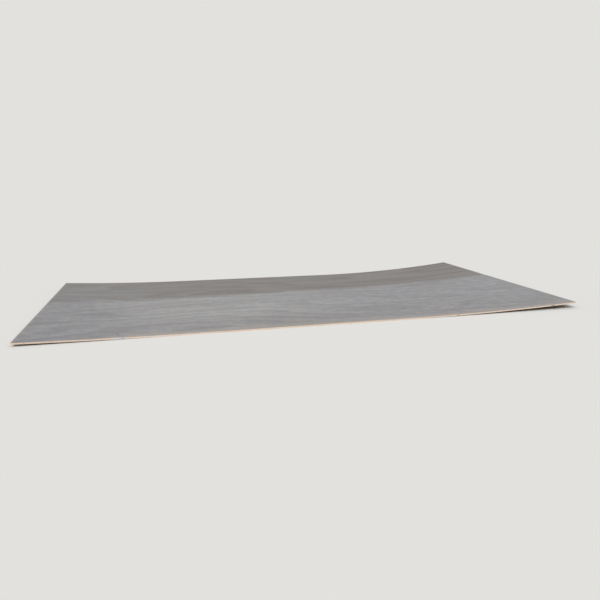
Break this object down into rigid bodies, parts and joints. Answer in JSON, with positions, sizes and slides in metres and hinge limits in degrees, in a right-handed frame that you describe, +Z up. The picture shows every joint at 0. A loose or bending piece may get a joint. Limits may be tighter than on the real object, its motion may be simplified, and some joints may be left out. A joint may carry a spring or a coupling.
{
  "type": "plywood sheet",
  "caption": "Thin full-size plywood sheet with sawn cream edges and a dusty grey face, flat in the middle and curling up gently at both ends.",
  "frame": {"origin": "middle of the bounding box at its lowest level, on the plane that the flat middle of the sheet rests on", "axes": "+X along the length, towards the end that curls up most; +Y across the width, away from the front long edge; +Z up, out of the better face"},
  "size_m": [2.44, 1.22, 0.058],
  "materials": {
    "plywood": "unsealed sawn plywood: dry dusty grey face, pale cream sawn edges, matt all over"
  },
  "bodies": {
    "root": {"plywood_sheet": "plywood"}
  },
  "joints": []
}
